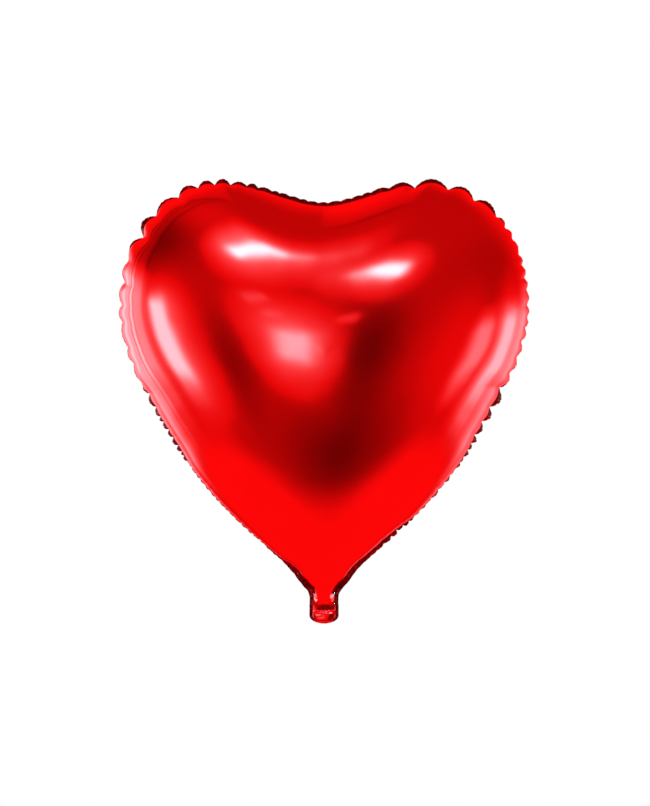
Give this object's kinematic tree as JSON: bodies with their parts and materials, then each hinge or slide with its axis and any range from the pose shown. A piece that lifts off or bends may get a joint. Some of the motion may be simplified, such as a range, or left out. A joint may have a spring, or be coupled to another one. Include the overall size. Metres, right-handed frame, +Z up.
{
  "type": "heart-shaped foil balloon",
  "caption": "Inflated heart-shaped metallised foil balloon: bulged front and back panels sealed round the edge, a folding tail and a self-sealing valve in the neck.",
  "frame": {"origin": "lowest point of the tail, on the plane of the heat seal, midway across the heart", "axes": "+X to the heart's right as seen from the front, +Y towards the back panel, +Z up towards the lobes; the front panel faces -Y"},
  "size_m": [0.38, 0.1806, 0.411],
  "materials": {
    "red_foil": "red metallised film, mirror gloss",
    "fused_seal": "fused double film, finely crimped",
    "clear_film": "clear polyethylene film"
  },
  "bodies": {
    "envelope": {"front_panel": "red_foil", "back_panel": "red_foil", "perimeter_heat_seal": "fused_seal"},
    "tail": {"tail_front_ply": "red_foil", "tail_back_ply": "red_foil", "tail_left_seal": "fused_seal", "tail_right_seal": "fused_seal"},
    "tail_end": {"tail_end_front_ply": "red_foil", "tail_end_seal": "fused_seal", "tail_end_back_ply": "red_foil"},
    "valve_front": {"valve_front_ply": "clear_film"},
    "valve_back": {"valve_back_ply": "clear_film"}
  },
  "joints": [
    {"name": "tail_fold", "type": "hinge", "parent": "envelope", "child": "tail", "pos_m": [0, 0, 0.033], "axis": [1, 0, 0], "range_deg": [-95, 95], "stiffness_Nm_per_rad": 0.0001},
    {"name": "tail_end_fold", "type": "hinge", "parent": "tail", "child": "tail_end", "pos_m": [0, 0, 0.0125], "axis": [1, 0, 0], "range_deg": [-105, 105], "stiffness_Nm_per_rad": 0.00005},
    {"name": "valve_front_open", "type": "hinge", "parent": "envelope", "child": "valve_front", "pos_m": [0, -0.0003, 0.044], "axis": [1, 0, 0], "range_deg": [0, 6], "stiffness_Nm_per_rad": 0.0001},
    {"name": "valve_back_open", "type": "hinge", "parent": "envelope", "child": "valve_back", "pos_m": [0, 0.0003, 0.044], "axis": [1, 0, 0], "range_deg": [-6, 0], "stiffness_Nm_per_rad": 0.0001}
  ],
  "couplings": [
    {"joint": "valve_back_open", "follows": "valve_front_open", "ratio": -1}
  ]
}
